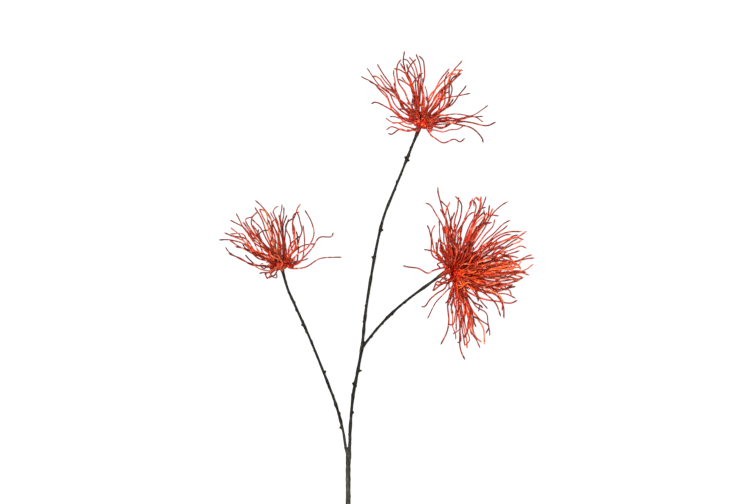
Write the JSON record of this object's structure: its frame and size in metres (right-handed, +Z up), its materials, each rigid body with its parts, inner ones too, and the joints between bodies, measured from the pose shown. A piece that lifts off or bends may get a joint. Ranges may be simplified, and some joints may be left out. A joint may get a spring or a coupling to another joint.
{
  "type": "grevillea flower spray",
  "caption": "Cut grevillea spray: a slender branched stem ending in loose heads of long, wavy, thread-like flower strands, lying flat.",
  "frame": {"origin": "on the surface that the spray lies on, below the centre of its bounding box", "axes": "+Z up from the surface, +Y along the main stem from the cut end towards the heads, +X to the right seen from above"},
  "size_m": [0.3162, 0.5521, 0.0843],
  "materials": {
    "stem": "dull, olive-brown, finely ridged",
    "strands": "satin, orange-red, deeper red at the heart"
  },
  "bodies": {
    "root": {"stem": "stem", "bloom_top": "strands", "bloom_left": "strands", "bloom_right": "strands"}
  },
  "joints": []
}
